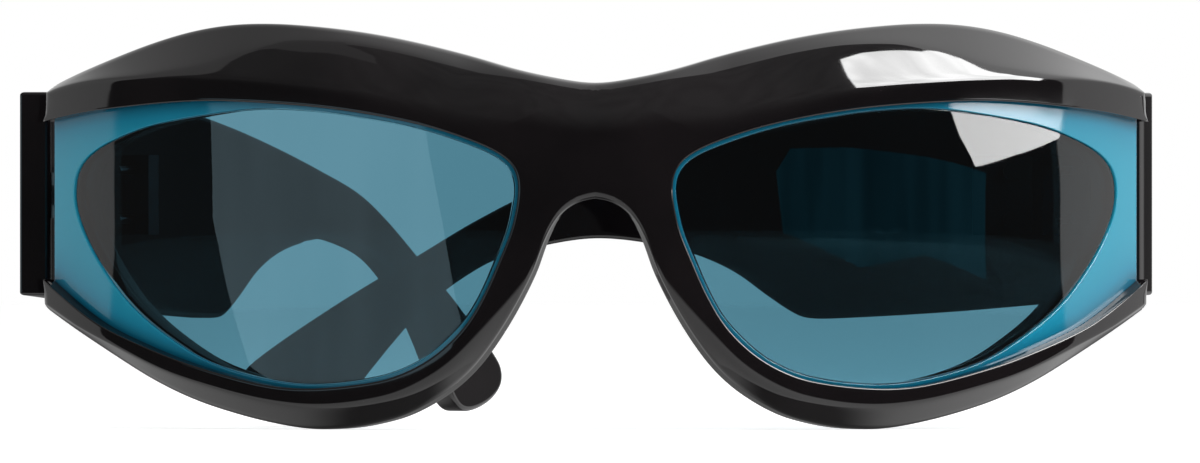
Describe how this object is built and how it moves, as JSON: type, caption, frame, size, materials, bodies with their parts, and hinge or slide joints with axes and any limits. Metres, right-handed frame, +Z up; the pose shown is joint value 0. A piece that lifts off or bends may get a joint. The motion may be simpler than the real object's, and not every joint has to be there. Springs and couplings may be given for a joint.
{
  "type": "wraparound sunglasses",
  "caption": "Wraparound sunglasses with a faceted black front, blue layered outer ends, teal tinted lenses and broad temples that fold on screw hinges.",
  "frame": {"origin": "middle of the underside of the box round the whole pair in its stored pose, on the surface that the pair stands on", "axes": "+X towards the wearer's left, +Y from the lenses back towards the ears, +Z up"},
  "size_m": [0.15, 0.149, 0.0528],
  "materials": {
    "black_acetate": "polished black acetate",
    "blue_acetate": "polished translucent blue acetate",
    "teal_lens": "see-through teal tinted plastic, polished",
    "hinge_steel": "pale stainless steel",
    "core_wire_steel": "drawn steel wire"
  },
  "bodies": {
    "front": {"front_frame": "black_acetate", "blue_layer_left": "blue_acetate", "blue_layer_right": "blue_acetate", "inner_rim_left": "black_acetate", "inner_rim_right": "black_acetate", "lens_left": "teal_lens", "lens_right": "teal_lens", "hinge_front_leaf_left": "hinge_steel", "hinge_front_leaf_right": "hinge_steel", "front_leaf_screw_left_upper": "hinge_steel", "front_leaf_screw_left_lower": "hinge_steel", "front_leaf_screw_right_upper": "hinge_steel", "front_leaf_screw_right_lower": "hinge_steel"},
    "left_temple": {"temple_left": "black_acetate", "core_wire_left": "core_wire_steel", "hinge_temple_leaf_left": "hinge_steel", "temple_leaf_screw_left_upper": "hinge_steel", "temple_leaf_screw_left_lower": "hinge_steel", "hinge_screw_left": "hinge_steel"},
    "right_temple": {"temple_right": "black_acetate", "core_wire_right": "core_wire_steel", "hinge_temple_leaf_right": "hinge_steel", "temple_leaf_screw_right_upper": "hinge_steel", "temple_leaf_screw_right_lower": "hinge_steel", "hinge_screw_right": "hinge_steel"}
  },
  "joints": [
    {"name": "left_temple_fold", "type": "hinge", "parent": "front", "child": "left_temple", "pos_m": [0.06464, -0.02464, 0.03052], "axis": [0, 0, -1], "range_deg": [0, 93]},
    {"name": "right_temple_fold", "type": "hinge", "parent": "front", "child": "right_temple", "pos_m": [-0.06287, -0.02464, 0.03052], "axis": [0, 0, 1], "range_deg": [-57, 30]}
  ]
}
